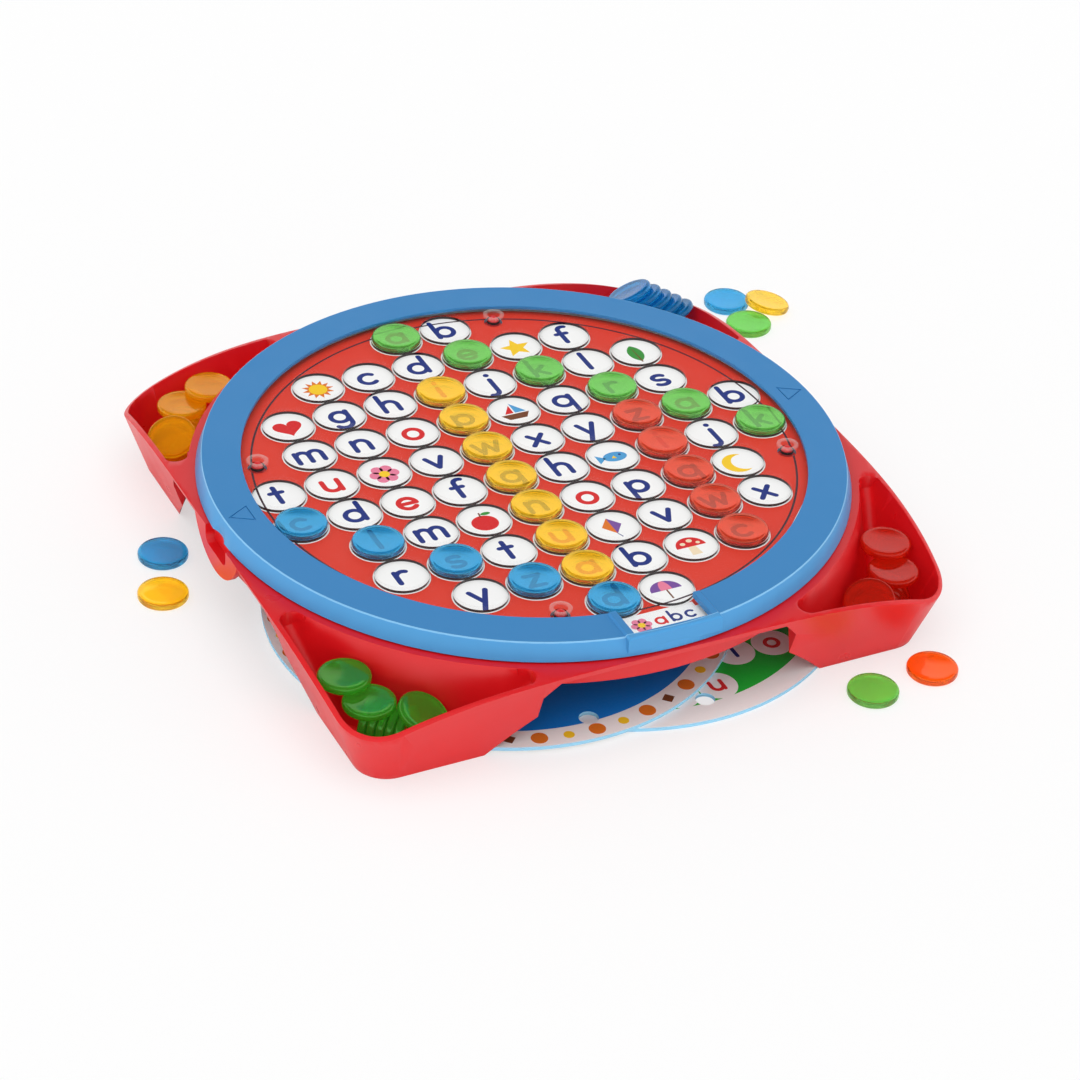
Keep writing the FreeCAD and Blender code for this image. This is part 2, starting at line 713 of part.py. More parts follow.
def half_height(tilt):
    """Half the height of a counter that is tilted by an angle."""
    lean = math.radians(tilt)
    return (WIDE / 2 - EDGE) * math.sin(lean) + (THICK / 2 - EDGE) * math.cos(lean) + EDGE


LOOSE_TILT = 12.7
LOOSE_RUN_SHARE = 0.74
back_x, back_blue_y = LOOSE_SHARES["loose_counter_back_blue"][1::2]
back_green_y = LOOSE_SHARES["loose_counter_back_green"][3]
loose_spin = FreeCAD.Rotation(FreeCAD.Vector(0, 1, 0), LOOSE_TILT)
loose_centre = FreeCAD.Vector(
    RIM + (back_x + LOOSE_RUN_SHARE) * WIDE,
    RIM + (back_blue_y + back_green_y) / 2 * WIDE,
    half_height(LOOSE_TILT) + value("stack_gap") / 2,
)
loose_foot = loose_centre - loose_spin.multVec(FreeCAD.Vector(0, 0, THICK / 2))
counters("loose_counter_back_yellow", [FreeCAD.Placement(loose_foot, loose_spin)])

# Heaps in the trays. A tray's own axes are out (along the diagonal), across (to its left) and up.
FLOOR = value("floor_thickness") + value("heap_gap")
STEP = THICK + value("stack_gap")
TRAY_COLOURS = ["blue", "yellow", "green", "red"]
TRAYS = {colour: (number + 0.5) * QUARTER_TURN for number, colour in enumerate(TRAY_COLOURS)}


def in_tray(bearing, out, across, up, tilt=0.0, towards=0.0):
    """A counter in a tray by its centre, its upper face tilted by an angle towards a direction in the tray."""
    turn = FreeCAD.Rotation(FreeCAD.Vector(0, 0, 1), bearing)
    aim = FreeCAD.Rotation(FreeCAD.Vector(0, 0, 1), towards)
    tip = FreeCAD.Rotation(FreeCAD.Vector(0, 1, 0), tilt)
    spin = turn.multiply(aim).multiply(tip).multiply(aim.inverted())
    centre = turn.multVec(FreeCAD.Vector(out, across, up))
    return FreeCAD.Placement(centre - spin.multVec(FreeCAD.Vector(0, 0, THICK / 2)), spin)


def roll(bearing, count):
    """A fallen stack on the tray floor: counters on edge, side by side across the tray, against its round wall."""
    up = FLOOR + WIDE / 2
    out = value(tray_wall_at(str(up))) + WIDE / 2 + value("heap_gap")
    middle = (count - 1) / 2
    return [
        in_tray(bearing, out, (number - middle) * STEP, up, tilt=QUARTER_TURN, towards=QUARTER_TURN)
        for number in range(count)
    ]


ROLL_COUNT = 5
ROLL_TOP = FLOOR + WIDE + value("stack_gap")
ROLL_END = ROLL_COUNT * STEP / 2
ROLL_OUT = value(tray_wall_at(str(FLOOR + WIDE / 2))) + WIDE / 2 + value("heap_gap")
LEANING_TILT = 25.0
LEANING_ACROSS_SHARE = 0.65
LEANING_IN_SHARE = 0.09
FLAT_OUT_SHARE = 0.12
FLAT_ACROSS_SHARE = 0.32


def wedged_place(height):
    """Out and across, where a level counter at a height touches a tray's straight wall and its round wall."""
    reach = WIDE / 2 + value("heap_gap")
    from_wall = value(f"{side_at(str(height))} - wall") - reach
    from_axis = value(tray_wall_at(str(height))) + reach
    along = math.sqrt(from_axis**2 - from_wall**2)
    return (from_wall + along) / math.sqrt(2), (from_wall - along) / math.sqrt(2)


def tray_heap(bearing, side):
    """A fallen stack, a counter leaning on one end of it, one lying on it, and one from there to the wall."""
    across = LEANING_ACROSS_SHARE * WIDE
    slope = math.tan(math.radians(LEANING_TILT))
    stretch = 1 / math.cos(math.radians(LEANING_TILT))
    sink = EDGE * (1 + slope - stretch) + value("token_dish_depth") / 2
    leaning_up = ROLL_TOP - (across - ROLL_END) * slope + THICK / 2 * stretch - sink
    flat_out = ROLL_OUT + FLAT_OUT_SHARE * WIDE
    flat_across = -side * FLAT_ACROSS_SHARE * WIDE
    leaning_out = ROLL_OUT - LEANING_IN_SHARE * WIDE
    upper = ROLL_TOP + STEP
    wedged_out, wedged_across = wedged_place(upper + EDGE)
    return roll(bearing, ROLL_COUNT) + [
        in_tray(bearing, leaning_out, side * across, leaning_up, LEANING_TILT, side * QUARTER_TURN),
        in_tray(bearing, flat_out, flat_across, ROLL_TOP + THICK / 2),
        in_tray(bearing, wedged_out, -side * wedged_across, upper + THICK / 2),
    ]


counters("tray_counters_green", tray_heap(TRAYS["green"], 1))
counters("tray_counters_red", tray_heap(TRAYS["red"], -1))
counters("tray_counters_yellow", tray_heap(TRAYS["yellow"], 1))

# The blue heap: a level stack, and a second stack that slid over on top of it and lies fanned out.
STACK_COUNT = 6
FAN_COUNT = 5
FAN_TILT = 30.0
FAN_STEP_SHARE = 0.24
stack_out = ROLL_OUT + FLAT_OUT_SHARE * WIDE
stack_top = FLOOR + STACK_COUNT * STEP
fan_up = stack_top + half_height(FAN_TILT)
fan_fall = (STEP - FAN_STEP_SHARE * WIDE * math.sin(math.radians(FAN_TILT))) / math.cos(math.radians(FAN_TILT))
blue_heap = [in_tray(TRAYS["blue"], stack_out, 0, FLOOR + number * STEP + THICK / 2) for number in range(STACK_COUNT)]
for number in range(FAN_COUNT):
    across = (1 - number) * FAN_STEP_SHARE * WIDE
    up = fan_up + (FAN_COUNT - 1 - number) * fan_fall
    blue_heap.append(in_tray(TRAYS["blue"], stack_out, across, up, FAN_TILT, QUARTER_TURN))
counters("tray_counters_blue", blue_heap)

# Everything has to be sound before anything is written.
doc.recompute()
for thing in doc.Objects:
    if "Invalid" in thing.State or "Error" in thing.State:
        raise RuntimeError(f"{thing.Name} failed: {thing.State}")
for part in PARTS:
    if part.Shape.isNull() or not part.Shape.isValid():
        raise RuntimeError(f"{part.Label} has no valid shape")
os.makedirs("parts", exist_ok=True)
for part in PARTS:
    part.Shape.exportStep(f"parts/{part.Label}.step")
print(len(PARTS), "sub-parts written")
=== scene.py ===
"""Word search board game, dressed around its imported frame. Metres, +Z up, origin under the ring's axis."""

import math

import bpy
from mathutils import Matrix, Vector


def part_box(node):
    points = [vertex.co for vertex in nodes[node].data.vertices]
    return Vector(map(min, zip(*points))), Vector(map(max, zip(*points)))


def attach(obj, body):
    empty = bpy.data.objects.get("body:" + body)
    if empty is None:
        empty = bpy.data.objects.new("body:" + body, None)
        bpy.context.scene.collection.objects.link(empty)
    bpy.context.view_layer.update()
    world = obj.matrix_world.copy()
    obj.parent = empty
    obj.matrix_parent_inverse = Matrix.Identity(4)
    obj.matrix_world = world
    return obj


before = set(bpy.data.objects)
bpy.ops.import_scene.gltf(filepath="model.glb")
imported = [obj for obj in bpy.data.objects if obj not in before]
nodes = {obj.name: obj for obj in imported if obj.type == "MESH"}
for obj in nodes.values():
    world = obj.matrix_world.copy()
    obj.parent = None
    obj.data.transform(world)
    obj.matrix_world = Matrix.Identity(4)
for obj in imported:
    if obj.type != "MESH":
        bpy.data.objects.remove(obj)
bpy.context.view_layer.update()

# Table and studio. A plain white table top runs on far past the board. The room gives most of its light low
# down and all round, and less from its walls and ceiling. One broad soft lamp hangs above the board, a little
# in front of it and to the left.
MM = 0.001
WHITE = (1, 1, 1, 1)
TABLE_HALF = 5.0
TABLE_DROP = 0.05 * MM
TABLE_GREY = 0.96
TABLE_ROUGHNESS = 0.9
TABLE_GLOW_SHARE = 0.58
LOW_LIGHT = 3.6
WALL_LIGHT = 0.5
WALL_START = 0.06
WALL_FULL = 0.22
MIRRORED_CEILING = 0.08
CEILING_START = 0.61
CEILING_FULL = 0.67
LAMP_FROM = (-0.25, -0.30, 1.0)
LAMP_STRENGTH = 1.55
LAMP_SPREAD = math.radians(75)
IMAGE_SIDE = 1080
FOCAL_PIXELS = 3500
SENSOR_WIDTH = 36.0
CAMERA_BEARING = -27.75
CAMERA_HEIGHT_ANGLE = 34.45
CAMERA_ROLL = 3.34
CAMERA_DISTANCE = 1305.5 * MM
CAMERA_RIGHT = 5.7 * MM
CAMERA_UP = -30.0 * MM
AIM_HEIGHT = 38.9 * MM
VIEW_END = 4 * TABLE_HALF

scene = bpy.context.scene
scene.view_settings.view_transform = "Standard"


def put_in_scene(name, data):
    """Makes an object from its data and puts it in the scene."""
    thing = bpy.data.objects.new(name, data)
    scene.collection.objects.link(thing)
    return thing


def mesh_from(name, points, faces):
    """A mesh object from its points and faces."""
    mesh = bpy.data.meshes.new(name)
    mesh.from_pydata(points, [], faces)
    mesh.update()
    return put_in_scene(name, mesh)


def new_material(name):
    """An empty material with its node tree and output."""
    material = bpy.data.materials.new(name)
    material.use_nodes = True
    tree = material.node_tree
    tree.nodes.clear()
    output = tree.nodes.new("ShaderNodeOutputMaterial")
    return material, tree, output


def add_node(tree, kind, **settings):
    """A node with its settings made and its sockets filled: values are set, sockets are linked."""
    node = tree.nodes.new(kind)
    sockets = settings.pop("sockets", {})
    for name, setting in settings.items():
        setattr(node, name, setting)
    for name, given in sockets.items():
        if isinstance(given, bpy.types.NodeSocket):
            tree.links.new(given, node.inputs[name])
        else:
            node.inputs[name].default_value = given
    return node


def sum_node(tree, operation, first, second):
    """The result of one sum on two numbers, each a value or a socket."""
    return add_node(tree, "ShaderNodeMath", operation=operation, sockets={0: first, 1: second}).outputs[0]


def vector_node(tree, operation, first, second):
    """The result of one sum on two vectors: a number for a length, and else a vector."""
    node = add_node(tree, "ShaderNodeVectorMath", operation=operation, sockets={0: first, 1: second})
    return node.outputs["Value" if operation == "LENGTH" else "Vector"]


def range_node(tree, given, from_min, from_max, to_min, to_max):
    """A number carried from one range to another and held at its ends."""
    sockets = {"Value": given, "From Min": from_min, "From Max": from_max, "To Min": to_min, "To Max": to_max}
    return add_node(tree, "ShaderNodeMapRange", sockets=sockets).outputs["Result"]


def mix_colours(tree, share, first, second):
    """The first colour where the share is 0 and the second where it is 1."""
    sockets = {0: share, 6: first, 7: second}
    return add_node(tree, "ShaderNodeMix", data_type="RGBA", sockets=sockets).outputs[2]


def mix_shaders(tree, share, first, second):
    """The first shader where the share is 0 and the second where it is 1."""
    sockets = {0: share, 1: first.outputs[0], 2: second.outputs[0]}
    return add_node(tree, "ShaderNodeMixShader", sockets=sockets)


def screen_colour(red, green, blue):
    """A colour given in the 0 to 255 steps of a screen, as the linear light that a shader takes."""
    linear = []
    for step in (red, green, blue):
        share = step / 255
        linear.append(share / 12.92 if share <= 0.04045 else ((share + 0.055) / 1.055) ** 2.4)
    return (*linear, 1.0)


def wear(node_name, material):
    """Gives a frame node its material."""
    mesh = nodes[node_name].data
    mesh.materials.clear()
    mesh.materials.append(material)


table = mesh_from(
    "table_top",
    [(x * TABLE_HALF, y * TABLE_HALF, -TABLE_DROP) for x, y in ((-1, -1), (1, -1), (1, 1), (-1, 1))],
    [(0, 1, 2, 3)],
)
table_finish, tree, output = new_material("pale_table")
paint = add_node(
    tree,
    "ShaderNodeBsdfPrincipled",
    sockets={
        "Base Color": (TABLE_GREY, TABLE_GREY, TABLE_GREY, 1),
        "Roughness": TABLE_ROUGHNESS,
        "Specular IOR Level": 0.0,
    },
)
glow = add_node(tree, "ShaderNodeEmission", sockets={"Color": WHITE, "Strength": 1.0})
path = add_node(tree, "ShaderNodeLightPath")
glow_share = sum_node(tree, "MULTIPLY", path.outputs["Is Camera Ray"], TABLE_GLOW_SHARE)
table_top = mix_shaders(tree, glow_share, paint, glow)
tree.links.new(table_top.outputs[0], output.inputs["Surface"])
table.data.materials.append(table_finish)

world = bpy.data.worlds.new("studio_room")
world.use_nodes = True
scene.world = world
room = world.node_tree
room.nodes.clear()
path = add_node(room, "ShaderNodeLightPath")
seen = sum_node(room, "MAXIMUM", path.outputs["Is Camera Ray"], path.outputs["Is Transmission Ray"])
way = add_node(room, "ShaderNodeTexCoord")
climb = add_node(room, "ShaderNodeSeparateXYZ", sockets={0: way.outputs["Generated"]})
mirrored = range_node(room, climb.outputs["Z"], CEILING_START, CEILING_FULL, 1.0, MIRRORED_CEILING)
lit = range_node(room, climb.outputs["Z"], WALL_START, WALL_FULL, LOW_LIGHT, WALL_LIGHT)
lit_room = add_node(room, "ShaderNodeBackground", sockets={"Color": WHITE, "Strength": lit})
mirrored_room = add_node(room, "ShaderNodeBackground", sockets={"Color": WHITE, "Strength": mirrored})
white_room = add_node(room, "ShaderNodeBackground", sockets={"Color": WHITE, "Strength": 1.0})
lit_or_mirrored = mix_shaders(room, path.outputs["Is Glossy Ray"], lit_room, mirrored_room)
whole_room = mix_shaders(room, seen, lit_or_mirrored, white_room)
add_node(room, "ShaderNodeOutputWorld", sockets={"Surface": whole_room.outputs[0]})

lamp_data = bpy.data.lights.new("soft_lamp", "SUN")
lamp_data.energy = LAMP_STRENGTH
lamp_data.angle = LAMP_SPREAD
lamp = put_in_scene("soft_lamp", lamp_data)
lamp.rotation_euler = (-Vector(LAMP_FROM)).to_track_quat("-Z", "Y").to_euler()
lamp.visible_glossy = False

bearing = math.radians(CAMERA_BEARING)
height_angle = math.radians(CAMERA_HEIGHT_ANGLE)
roll = math.radians(CAMERA_ROLL)
back = Vector(
    (
        math.sin(bearing) * math.cos(height_angle),
        -math.cos(bearing) * math.cos(height_angle),
        math.sin(height_angle),
    )
)
level_right = Vector((math.cos(bearing), math.sin(bearing), 0))
level_up = back.cross(level_right)
right = math.cos(roll) * level_right + math.sin(roll) * level_up
up = math.cos(roll) * level_up - math.sin(roll) * level_right
camera_data = bpy.data.cameras.new("camera")
camera_data.sensor_width = SENSOR_WIDTH
camera_data.lens = SENSOR_WIDTH * FOCAL_PIXELS / IMAGE_SIDE
camera_data.clip_end = VIEW_END
camera = put_in_scene("camera", camera_data)
turn = Matrix((right, up, back)).transposed().to_4x4()
place = Vector((0, 0, AIM_HEIGHT)) + CAMERA_RIGHT * right + CAMERA_UP * up + CAMERA_DISTANCE * back
camera.matrix_world = Matrix.Translation(place) @ turn
scene.camera = camera

# Base. One red injection moulding in a shiny plastic: four corner trays that are its feet, and a round deck
# that carries the rest. It stands loose on the table, and its sharp edges are just broken as a mould leaves
# them.
BASE_RED = screen_colour(215, 18, 25)
BASE_ROUGHNESS = 0.32
BASE_GLOSS = 0.5
MOULDED_EDGE = 0.35 * MM
MOULDED_ANGLE = math.radians(35)
WELD_REACH = 0.002 * MM
EDGE_STEPS = 2
POLISH_SCALE = 60.0
POLISH_DETAIL = 3.0
POLISH_SPREAD = 0.15
NOISE_LOW = 0.3
NOISE_HIGH = 0.7
PLASTIC_IOR = 1.5


def uneven_polish(tree, roughness, scale, detail):
    """A roughness that wavers a little about its middle."""
    spot = add_node(tree, "ShaderNodeTexCoord")
    sockets = {"Vector": spot.outputs["Object"], "Scale": scale, "Detail": detail}
    cloud = add_node(tree, "ShaderNodeTexNoise", sockets=sockets)
    smooth = roughness * (1 - POLISH_SPREAD)
    rough = roughness * (1 + POLISH_SPREAD)
    return range_node(tree, cloud.outputs["Fac"], NOISE_LOW, NOISE_HIGH, smooth, rough)


def moulded_plastic(tree, colour, roughness, gloss):
    """A shiny moulded plastic with a faint unevenness in its polish."""
    polish = uneven_polish(tree, roughness, POLISH_SCALE, POLISH_DETAIL)
    sockets = {"Base Color": colour, "Roughness": polish, "IOR": PLASTIC_IOR, "Specular IOR Level": gloss}
    return add_node(tree, "ShaderNodeBsdfPrincipled", sockets=sockets)


def break_edges(node_name, width):
    """Rounds the sharp edges of a frame node a little, on top of its own mesh."""
    weld = nodes[node_name].modifiers.new("weld", "WELD")
    weld.merge_threshold = WELD_REACH
    bevel = nodes[node_name].modifiers.new("broken_edges", "BEVEL")
    bevel.width = width
    bevel.segments = EDGE_STEPS
    bevel.limit_method = "ANGLE"
    bevel.angle_limit = MOULDED_ANGLE
    bevel.use_clamp_overlap = True
    bevel.harden_normals = True


red_plastic, tree, output = new_material("red_plastic")
plastic = moulded_plastic(tree, BASE_RED, BASE_ROUGHNESS, BASE_GLOSS)
tree.links.new(plastic.outputs[0], output.inputs["Surface"])
wear("base_tray", red_plastic)
break_edges("base_tray", MOULDED_EDGE)

# Printed discs. Each is a white card with a coloured field, and two of them have a white circle for every
# letter. They lie loose: the puzzle on the deck, over its pegs, and the two smaller spares on the table.
CARD_WHITE = screen_colour(251, 251, 250)
CARD_EDGE = screen_colour(150, 208, 236)
CARD_ROUGHNESS = 0.55
FIELD_RED = screen_colour(226, 50, 26)
FIELD_BLUE = screen_colour(8, 126, 222)
FIELD_GREEN = screen_colour(30, 190, 58)
# Painted shade: the colour of a thin dark line round the puzzle's field, where the ring's inner edge shows
# dark.
PAINTED_SHADE_LINE = screen_colour(58, 30, 44)
CIRCLE_SHARE = 0.493
FIELD_CELLS = 4.6
PUZZLE_RIM_SHARE = 0.918
SPARE_RIM_SHARE = 0.893
SHADE_LINE_REACH_SHARE = 0.865
SHADE_LINE_HALF = 0.4 * MM
CARD_GLOSS = 0.3
PAPER_SCALE = 900.0
PAPER_DETAIL = 2.0
UPRIGHT_SHARE = 0.5


def centre_of(node_name):
    """The middle of a frame node at rest."""
    low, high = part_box(node_name)
    return (Vector(low) + Vector(high)) / 2


def half_width(node_name):
    """Half the width of a frame node at rest."""
    low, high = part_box(node_name)
    return (high[0] - low[0]) / 2


def offset_in_cell(tree, flat, pitch):
    """How far a spot is from the middle of its square of the grid, in squares, and where that middle is."""
    in_cells = vector_node(tree, "DIVIDE", flat, (pitch, pitch, 1))
    cell = vector_node(tree, "FLOOR", in_cells, (0, 0, 0))
    cell_middle = vector_node(tree, "ADD", cell, (0.5, 0.5, 0))
    return vector_node(tree, "SUBTRACT", in_cells, cell_middle), cell_middle


def paper(tree, colour):
    """Printed card: the colour with the faint grain of paper in its sheen."""
    sheen = uneven_polish(tree, CARD_ROUGHNESS, PAPER_SCALE, PAPER_DETAIL)
    sockets = {"Base Color": colour, "Roughness": sheen, "Specular IOR Level": CARD_GLOSS}
    return add_node(tree, "ShaderNodeBsdfPrincipled", sockets=sockets)


def printed_card(name, node_name, field, rim_share, pitch=None, line=False):
    """White card, a round coloured field, white circles on a square pitch, and a painted shade line round the
    field.
    """
    material, tree, output = new_material(name)
    spot = add_node(tree, "ShaderNodeTexCoord")
    from_middle = vector_node(tree, "SUBTRACT", spot.outputs["Object"], centre_of(node_name))
    flat = vector_node(tree, "MULTIPLY", from_middle, (1, 1, 0))
    reach = vector_node(tree, "LENGTH", flat, (0, 0, 0))
    coloured = sum_node(tree, "LESS_THAN", reach, half_width(node_name) * rim_share)
    if pitch:
        offset, cell_middle = offset_in_cell(tree, flat, pitch)
        from_circle = vector_node(tree, "LENGTH", offset, (0, 0, 0))
        in_circle = sum_node(tree, "LESS_THAN", from_circle, CIRCLE_SHARE)
        cell_reach = vector_node(tree, "LENGTH", cell_middle, (0, 0, 0))
        has_circle = sum_node(tree, "LESS_THAN", cell_reach, FIELD_CELLS)
        coloured = sum_node(tree, "SUBTRACT", coloured, sum_node(tree, "MULTIPLY", in_circle, has_circle))
    facing = add_node(tree, "ShaderNodeNewGeometry")
    heading = add_node(tree, "ShaderNodeSeparateXYZ", sockets={0: facing.outputs["Normal"]})
    top_side = sum_node(tree, "GREATER_THAN", heading.outputs["Z"], UPRIGHT_SHARE)
    edge = sum_node(tree, "LESS_THAN", sum_node(tree, "ABSOLUTE", heading.outputs["Z"], 0), UPRIGHT_SHARE)
    inked = sum_node(tree, "MULTIPLY", sum_node(tree, "MAXIMUM", coloured, 0), top_side)
    colour = mix_colours(tree, inked, CARD_WHITE, field)
    colour = mix_colours(tree, edge, colour, CARD_EDGE)
    # Painted shade: a thin dark line painted round the field, for the dark band inside the ring's inner edge.
    if line:
        off_line = sum_node(tree, "SUBTRACT", reach, half_width(node_name) * SHADE_LINE_REACH_SHARE)
        on_line = sum_node(tree, "LESS_THAN", sum_node(tree, "ABSOLUTE", off_line, 0), SHADE_LINE_HALF)
        colour = mix_colours(tree, sum_node(tree, "MULTIPLY", on_line, top_side), colour, PAINTED_SHADE_LINE)
    card = paper(tree, colour)
    tree.links.new(card.outputs[0], output.inputs["Surface"])
    return material


PITCH = (centre_of("grid_counter_yellow_1") - centre_of("grid_counter_yellow_2")).length
SPARE_PITCH = PITCH * half_width("spare_disc_blue") / half_width("puzzle_disc")
puzzle_card = printed_card("puzzle_print", "puzzle_disc", FIELD_RED, PUZZLE_RIM_SHARE, PITCH, line=True)
blue_card = printed_card("blue_spare_print", "spare_disc_blue", FIELD_BLUE, SPARE_RIM_SHARE)
green_card = printed_card(
    "green_spare_print", "spare_disc_green", FIELD_GREEN, SPARE_RIM_SHARE, SPARE_PITCH
)
wear("puzzle_disc", puzzle_card)
wear("spare_disc_blue", blue_card)
wear("spare_disc_green", green_card)

# Letters. They are ink printed on the puzzle's card, here as films a few hundredths of a millimetre thick.
# The alphabet in plain school letters of round strokes runs along the rows, vowels in red and the rest in
# navy.
INK_RISE = 0.02 * MM
INK_LAYER = 0.012 * MM
INK_SINK = 0.01 * MM
INKS = {
    "navy": screen_colour(30, 50, 128),
    "red": screen_colour(218, 40, 42),
    "yellow": screen_colour(250, 206, 40),
    "orange": screen_colour(226, 120, 36),
    "green": screen_colour(60, 148, 60),
    "brown": screen_colour(118, 66, 36),
    "pink": screen_colour(236, 130, 160),
    "sky": screen_colour(80, 160, 214),
    "purple": screen_colour(124, 82, 160),
    "cream": screen_colour(244, 224, 190),
    "white": CARD_WHITE,
}
X_HEIGHT = 8.3 * MM
STROKE_HALF_SHARE = 0.125
DOT_SHARE = 0.14
STROKE_LEVEL_SHARE = 0.2
ARC_STEP = 12
END_SWEEP = 60
FULL_TURN = 360
CELLS_ACROSS = 10
VOWELS = "aeiou"
# The row and column of each circle that holds a picture.
PICTURE_CELLS = [
    (1, 2), (1, 6), (2, 1), (2, 8), (3, 5), (4, 2),
    (5, 6), (6, 3), (6, 8), (7, 5), (8, 6), (9, 5),
]
# Strokes of each letter in shares of the height of an x. Four numbers are a line between two points, six are
# an arc (its middle, its two half widths, and where it starts and ends), and two are a dot.
BOWL_SHARES = (0, 0.5, 0.41, 0.41, 0, FULL_TURN)
LETTER_SHARES = {
    "a": [BOWL_SHARES, (0.41, 0.91, 0.41, 0.09)],
    "b": [BOWL_SHARES, (-0.41, 1.45, -0.41, 0.09)],
    "c": [(0, 0.5, 0.41, 0.41, 48, 312)],
    "d": [BOWL_SHARES, (0.41, 1.45, 0.41, 0.09)],
    "e": [(-0.41, 0.5, 0.41, 0.5), (0, 0.5, 0.41, 0.41, 0, 318)],
    "f": [(0, 0.09, 0, 1.17), (0.28, 1.17, 0.28, 0.28, 180, 65), (-0.24, 0.86, 0.28, 0.86)],
    "g": [BOWL_SHARES, (0.41, 0.91, 0.41, 0), (0, 0, 0.41, 0.41, 0, -145)],
    "h": [(-0.36, 1.45, -0.36, 0.09), (0, 0.55, 0.36, 0.36, 180, 0), (0.36, 0.55, 0.36, 0.09)],
    "i": [(0, 0.9, 0, 0.09), (0, 1.3)],
    "j": [(0.14, 0.9, 0.14, -0.12), (-0.14, -0.12, 0.28, 0.28, 0, -115), (0.14, 1.3)],
    "k": [(-0.3, 1.45, -0.3, 0.09), (0.3, 0.9, -0.3, 0.4), (-0.08, 0.58, 0.34, 0.09)],
    "l": [(0, 1.45, 0, 0.09)],
    "m": [
        (-0.6, 0.9, -0.6, 0.09),
        (-0.3, 0.61, 0.3, 0.3, 180, 0),
        (0, 0.61, 0, 0.09),
        (0.3, 0.61, 0.3, 0.3, 180, 0),
        (0.6, 0.61, 0.6, 0.09),
    ],
    "n": [(-0.36, 0.9, -0.36, 0.09), (0, 0.55, 0.36, 0.36, 180, 0), (0.36, 0.55, 0.36, 0.09)],
    "o": [BOWL_SHARES],
    "p": [BOWL_SHARES, (-0.41, 0.91, -0.41, -0.45)],
    "q": [BOWL_SHARES, (0.41, 0.91, 0.41, -0.45)],
    "r": [(-0.2, 0.9, -0.2, 0.09), (0.14, 0.57, 0.34, 0.34, 180, 60)],
    "s": [(0, 0.7, 0.3, 0.21, 35, 270), (0, 0.28, 0.32, 0.21, 90, -145)],
    "t": [(0, 1.3, 0, 0.09), (-0.28, 0.88, 0.28, 0.88)],
    "u": [(-0.36, 0.9, -0.36, 0.45), (0, 0.45, 0.36, 0.36, 180, FULL_TURN), (0.36, 0.9, 0.36, 0.09)],
    "v": [(-0.38, 0.9, 0, 0.09), (0, 0.09, 0.38, 0.9)],
    "w": [(-0.6, 0.9, -0.3, 0.09), (-0.3, 0.09, 0, 0.9), (0, 0.9, 0.3, 0.09), (0.3, 0.09, 0.6, 0.9)],
    "x": [(-0.34, 0.9, 0.34, 0.09), (0.34, 0.9, -0.34, 0.09)],
    "y": [(-0.38, 0.9, 0, 0.09), (0.38, 0.9, -0.2, -0.42)],
    "z": [(-0.34, 0.9, 0.34, 0.9), (0.34, 0.9, -0.34, 0.09), (-0.34, 0.09, 0.34, 0.09)],
}


def ink(name, colour):
    """Printing ink with the grain of the card it is on."""
    material, tree, output = new_material(name)
    film = paper(tree, colour)
    tree.links.new(film.outputs[0], output.inputs["Surface"])
    return material


def arc_points(x, y, wide, high, start, end):
    """Points along an arc about a middle. A full turn doesn't come back to its first point."""
    steps = max(2, round(abs(end - start) / ARC_STEP))
    count = steps if abs(end - start) == FULL_TURN else steps + 1
    angles = [math.radians(start + (end - start) * step / steps) for step in range(count)]
    return [Vector((x + wide * math.cos(angle), y + high * math.sin(angle))) for angle in angles]


def ribbon_outline(points, half):
    """The outline of a stroke with round ends along a row of points."""
    right_side, left_side = [], []
    for index, point in enumerate(points):
        ahead = points[min(index + 1, len(points) - 1)] - points[max(index - 1, 0)]
        side = half * ahead.normalized().orthogonal()
        left_side.append(point + side)
        right_side.append(point - side)
    outline = list(right_side)
    for end, ahead in ((points[-1], points[-1] - points[-2]), (points[0], points[0] - points[1])):
        angle = math.degrees(math.atan2(ahead.y, ahead.x))
        outline += arc_points(*end, half, half, angle - END_SWEEP, angle + END_SWEEP)
        if end is points[-1]:
            outline += left_side[::-1]
    return outline


def stroke_loops(stroke):
    """The outline of one stroke of a letter, with the outline of its hole where it is a full turn."""
    half = STROKE_HALF_SHARE
    if len(stroke) == 2:
        return [arc_points(*stroke, DOT_SHARE, DOT_SHARE, 0, FULL_TURN)]
    if len(stroke) == 4:
        return [ribbon_outline([Vector(stroke[:2]), Vector(stroke[2:])], half)]
    x, y, wide, high, start, end = stroke
    if abs(end - start) == FULL_TURN:
        return [arc_points(x, y, wide + side, high + side, start, end) for side in (half, -half)]
    return [ribbon_outline(arc_points(*stroke), half)]


def placed(loops, x, y, size):
    """Outlines in shares of a size, at that size and in their place."""
    return [[Vector((x, y)) + size * point for point in loop] for loop in loops]


def print_film(name, shapes, top, body, material):
    """One film of ink on a card. Each shape is its outline, that of its hole if it has one, and its layer."""
    points, faces = [], []
    for loops, layer in shapes:
        rise = INK_RISE + layer * INK_LAYER
        starts = []
        for loop in loops:
            starts.append(len(points))
            points += [(point.x, point.y, top - INK_SINK) for point in loop]
            points += [(point.x, point.y, top + rise) for point in loop]
        count = len(loops[0])
        rounds = [(number, (number + 1) % count) for number in range(count)]
        low = starts[0]
        high = low + count
        faces += [(low + here, low + after, high + after, high + here) for here, after in rounds]
        if len(loops) == 1:
            faces.append(tuple(high + here for here in range(count)))
            faces.append(tuple(low + here for here in reversed(range(count))))
        else:
            hole_low = starts[1]
            hole_high = hole_low + count
            for here, after in rounds:
                faces.append((hole_low + after, hole_low + here, hole_high + here, hole_high + after))
                faces.append((high + here, high + after, hole_high + after, hole_high + here))
                faces.append((hole_low + here, hole_low + after, low + after, low + here))
    film = mesh_from(name, points, faces)
    film.data.materials.append(material)
    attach(film, body)


